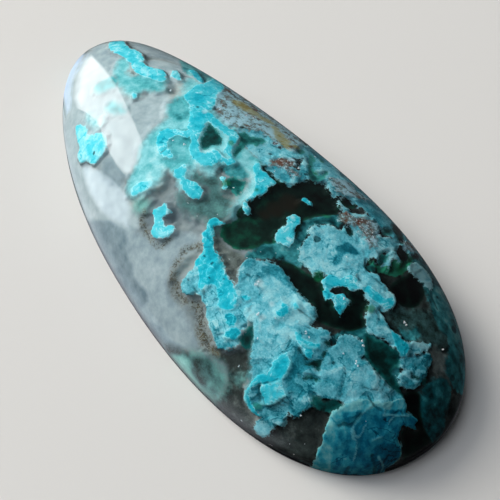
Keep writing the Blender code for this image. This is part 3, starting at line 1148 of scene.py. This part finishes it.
def tone_patterns(s, t, swing):
    """What there is in the growths' tones, under the names that PATTERNS uses."""
    level = s.attribute("terrace") + swing * 0.9
    part = s.math("FRACT", level)
    # Painted light on the terraces: a pale lip at each step's upper edge is a painted highlight, a dark foot
    # at its base is painted shade, and the tone also rises with the terrace's level.
    lip = s.between(part, 0.4, 0.0) * 0.12
    foot = s.between(part, 0.3, 1.0) * 0.18
    ledge_shade = lip - foot + (level - (TERRACES / 2 - 0.3)) * 0.16
    soft = s.between(s.attribute("cloud_tone"), 0.8, 0.45) * 0.7 + 0.3
    ridge = abs(s.noise(800, 3, 0.5, 0.4) - 0.5)
    return {
        "ledge_shade": ledge_shade,
        "soft_ledge_shade": ledge_shade * soft,
        # Painted shade in thin creases over the growths.
        "fold_shade": s.between(ridge, 0.022, 0.004) * s.between(t.coarse, 0.46, 0.56),
        "drapes": s.streaks(2200, FOLD_BEARING, 5.0) - 0.5,
        "net": s.between(s.cell_walls(2300, 1.2), 0.09, 0.02) * s.between(t.middle, 0.44, 0.6),
        "grit": (s.noise(9000, 2) - 0.5) * 0.7,
        "grain": t.fine - 0.5 + (t.frill - 0.5) * 0.9,
    }


def with_umber(s, t, base):
    """An umber haze over the green veils, with twigs and grains in it."""
    haze = cover(s, t, "umber", 0.8, 0.3)
    ridge = abs(s.noise(1900, 4, 0.6, 0.6) - 0.5)
    twigs = s.math("MAXIMUM", s.between(ridge, 0.035, 0.01), s.between(t.fine, 0.52, 0.62))
    base = s.mix(haze * 0.6, base, colour(*UMBER_CLEAR))
    return s.mix(haze * twigs, base, s.shades(s.between(t.middle, 0.4, 0.6), UMBER))


def with_growths(s, t):
    """The colour of the growths, each laid over the one before it, and how solid they look."""
    swing = t.middle - 0.5 + (t.coarse - 0.5) * 0.6
    patterns = tone_patterns(s, t, swing)
    base = s.shades(s.between(t.coarse, 0.35, 0.65), GROUND)
    solid = GROUND_SOLID
    for name, growth in GROWTHS.items():
        field = shaken(s, name, growth.ragged, t.lobes if name in LOBED else t.frill)
        tone = s.attribute(name + "_tone") + swing * growth.vary
        if name in EDGED:
            tone = tone + s.between(field, *EDGE_SPAN) * PALE_EDGE
        if name in HOLES:
            tone = tone + s.between(s.attribute(name), *WALL_SPAN) * PALE_WALL
        for pattern, strength in PATTERNS.get(name, {}).items():
            tone = tone + patterns[pattern] * strength
        share = s.between(field, -growth.soft, growth.soft)
        base = s.mix(share, base, s.shades(tone, growth.colours))
        if name in SOLID:
            solid = s.math("MAXIMUM", solid, share)
        if name == "veil":
            base = with_umber(s, t, base)
        if name == "window":
            base = s.mix(cover(s, t, "brown_spot", 0.8, 0.25) * 0.9, base, colour(*BROWN_BLACK))
    return base, solid


def with_marks(s, t, base):
    """Olive and rusty grains over the growths, then the stains."""
    base = s.mix(cover(s, t, "olive_spot", 0.9, 0.16) * 0.7, base, colour(*OLIVE))
    rusty = cover(s, t, "rust_spot", 1.4, 0.08)
    base = s.mix(rusty * s.between(t.fine, 0.4, 0.48) * 0.85, base, colour(*RUST))
    base = s.mix(rusty * s.between(s.noise(7500, 2), 0.54, 0.58) * 0.9, base, colour(*SPARK))
    for name, (width, soft, strength, tint, blend) in STAINS.items():
        base = s.mix(cover(s, t, name, width, soft) * strength, base, colour(*tint), blend)
    return base


def mineral_material():
    """All the growths in one skin."""
    s = Nodes(bpy.data.materials.new("mineral_growths"))
    t = Textures(
        coarse=s.noise(420, 4),
        middle=s.noise(1500, 5, 0.6),
        lobes=s.noise(2600, 5, 0.6),
        frill=s.noise(3000, 6, 0.72),
        fine=s.noise(5600, 3),
    )
    base, solid = with_growths(s, t)
    relief = s.bump(t.middle * 3.0 + t.fine, 0.00005, solid * 0.7)
    s.dress(Base_Color=with_marks(s, t, base), Roughness=0.6, Specular_IOR_Level=0.15, Normal=relief)
    return s.owner


def druse_material():
    s = Nodes(bpy.data.materials.new("quartz_druse"))
    cloudy = s.between(s.noise(6000, 2), 0.4, 0.6)
    s.dress(Base_Color=s.mix(cloudy, colour(214, 226, 232), colour(255, 255, 255)), Roughness=0.25)
    return s.owner


def clear_material():
    """Polished chalcedony. Lamps shine straight through it."""
    s = Nodes(bpy.data.materials.new("clear_chalcedony"))
    s.dress(Base_Color=colour(255, 255, 255), Roughness=0.02, IOR=CHALCEDONY_IOR, Transmission_Weight=1.0)
    s.dress(Normal=s.bump(s.noise(900, 2), 0.000004, 0.3))
    glass = Value(s, s.tree.nodes["Principled BSDF"].outputs["BSDF"])
    passing = s.make("BsdfTransparent", "BSDF", {"Color": CLEAR_SHADE})
    shadow = s.make("LightPath", "Is Shadow Ray")
    s.surface(s.make("MixShader", "Shader", {0: shadow, 1: glass, 2: passing}))
    return s.owner


def floor_material():
    s = Nodes(bpy.data.materials.new("pale_floor"))
    s.dress(Base_Color=colour(214, 212, 208), Roughness=0.9)
    return s.owner


def window_material(name, strength, tint):
    """Light that fades where the pane's glow does."""
    s = Nodes(bpy.data.materials.new(name))
    s.tree.nodes.remove(s.tree.nodes["Principled BSDF"])
    inputs = {"Color": colour(*tint), "Strength": s.attribute("glow") * strength}
    s.surface(s.make("Emission", "Emission", inputs))
    return s.owner


# ---------------------------------------------------------------------------------------------
# Stage: floor, lights, sky
# ---------------------------------------------------------------------------------------------
# Tall window panes low on the stone's far left: how bright, the tint, and as x,y,fade the pixels
# where the dome mirrors their corners and the share of the pane over which it fades there.
WINDOW_PANES = {
    "window_far": (4.9, (255, 252, 250), numbers("""
        82,60,0.2 91,54,0.1 96,58,0.12 109,73,0.12 118,86,0.12 124,98,0.12 130,111,0.12 136,124,0.12
        142,139,0.12 145,149,0.12 142,160,0.08 138,169,0.1 133,176,0.1 125,177,0.1 118,168,0.1
        110,155,0.1 104,142,0.15 100,130,0.2 94,120,0.3 84,113,0.3 75,108,0.3 71,96,0.3 73,80,0.3
        77,68,0.25
    """)),
    "window_near": (3.3, (232, 242, 255), numbers("""
        79,164,0.3 93,166,0.2 109,175,0.2 119,184,0.2 129,196,0.25 137,212,0.4 136,240,0.5 116,232,0.5
        98,212,0.4 86,192,0.4
    """)),
    "window_rim": (1.4, (190, 214, 255), numbers("""
        66,120,0.3 60,100,0.3 64,80,0.3 74,62,0.3 86,52,0.3 92,50,0.3 82,60,0.3 75,74,0.3 71,92,0.3
        71,114,0.3
    """)),}
PANE_RINGS = (1.0, 0.97, 0.94, 0.9, 0.85, 0.8, 0.75, 0.7, 0.6, 0.5, 0.3)
WINDOW_WAY = np.array([-0.93, -0.36, 0.08])
WINDOW_DISTANCE = 700.0
FLOOR_HALF, FLOOR_DROP = 1.5, 0.00002


def add_floor():
    bm = bmesh.new()
    bmesh.ops.create_grid(bm, x_segments=1, y_segments=1, size=FLOOR_HALF)
    mesh = bpy.data.meshes.new("floor")
    bm.to_mesh(mesh)
    bm.free()
    mesh.materials.append(floor_material())
    floor = bpy.data.objects.new("floor", mesh)
    floor.location.z = -FLOOR_DROP
    floor.visible_glossy = False
    bpy.context.scene.collection.objects.link(floor)


def add_window(name, strength, tint, corners):
    """A glowing pane that fades at its edge, where the polished dome mirrors it at the given pixels."""
    outline, fade = np.array(corners)[:, :2], np.array(corners)[:, 2]
    centre = outline.mean(axis=0)
    rings = [centre + (outline - centre) * share for share in PANE_RINGS]
    _, _, mirrored = sight_lines(np.vstack([*rings, centre[None]]))
    points = mirrored * (WINDOW_DISTANCE / (mirrored @ WINDOW_WAY))[:, None]
    count, last = len(outline), len(points) - 1
    faces = []
    for turn in range(count):
        after = (turn + 1) % count
        for ring in range(len(rings) - 1):
            outer, inner = ring * count, (ring + 1) * count
            faces.append((outer + turn, outer + after, inner + after, inner + turn))
        faces.append((last - count + turn, last - count + after, last))
    pane = new_mesh_object(name, points, faces, smooth=False)
    glow = np.concatenate([ease(1 - share, 0, fade) for share in PANE_RINGS])
    set_field(pane, "glow", np.append(glow, 1.0))
    pane.data.materials.append(window_material(name, strength, tint))


# Lamps: bearing and height in degrees, distance and size in millimetres, watts, and tint.
LAMPS = {
    "key": (-116.0, 30.0, 700.0, 420.0, 5.8, (255, 252, 246)),
    "fill": (-150.0, 62.0, 1100.0, 1000.0, 6.6, (240, 246, 255)),
}
SKY_DARK, SKY_LIGHT, EDGE_GLOW = 0.015, 0.09, 0.5


def add_lamp(name, bearing, height, distance, size, watts, tint):
    """A soft lamp, kept out of the mirror of the dome, which shows only the panes."""
    bearing, height = math.radians(bearing), math.radians(height)
    flat = math.cos(height)
    way = Vector((math.sin(bearing) * flat, math.cos(bearing) * flat, math.sin(height)))
    data = bpy.data.lights.new(name, "AREA")
    data.size = size * MM
    data.energy = watts
    data.color = colour(*tint)[:3]
    lamp = bpy.data.objects.new(name, data)
    lamp.location = way * distance * MM
    lamp.rotation_euler = way.to_track_quat("Z", "Y").to_euler()
    lamp.visible_glossy = False
    lamp.visible_transmission = False
    bpy.context.scene.collection.objects.link(lamp)


def add_sky():
    """A dim sky, lighter towards the windows; its low part gives the dome's left edge its pale line."""
    world = bpy.data.worlds.new("sky")
    s = Nodes(world, place="Generated")
    x, y, z = (s.make("SeparateXYZ", axis, {0: s.place}) for axis in "XYZ")
    low = s.spread(z, -0.2, -0.7, 0.0, EDGE_GLOW)
    left = s.spread(x + y, -0.5, -0.72, 0.0, 1.0)
    background = s.tree.nodes["Background"]
    s.join(background.inputs["Color"], colour(238, 244, 255))
    s.join(background.inputs["Strength"], s.spread(x, 0.2, -0.7, SKY_DARK, SKY_LIGHT) + low * left)
    bpy.context.scene.world = world


# ---------------------------------------------------------------------------------------------
# The stone, and what stands round it
# ---------------------------------------------------------------------------------------------
add_camera()
bed = add_mineral_bed()
bed.data.materials.append(mineral_material())
dome = add_clear_dome()
dome.data.materials.append(clear_material())
druse = add_druse()
druse.data.materials.append(druse_material())
for piece in (bed, dome, druse):
    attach(piece, "root")
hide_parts("cabochon")

add_floor()
for pane_name, pane in WINDOW_PANES.items():
    add_window(pane_name, *pane)
for lamp_name, lamp in LAMPS.items():
    add_lamp(lamp_name, *lamp)
add_sky()

scene = bpy.context.scene
scene.view_settings.view_transform = "Standard"
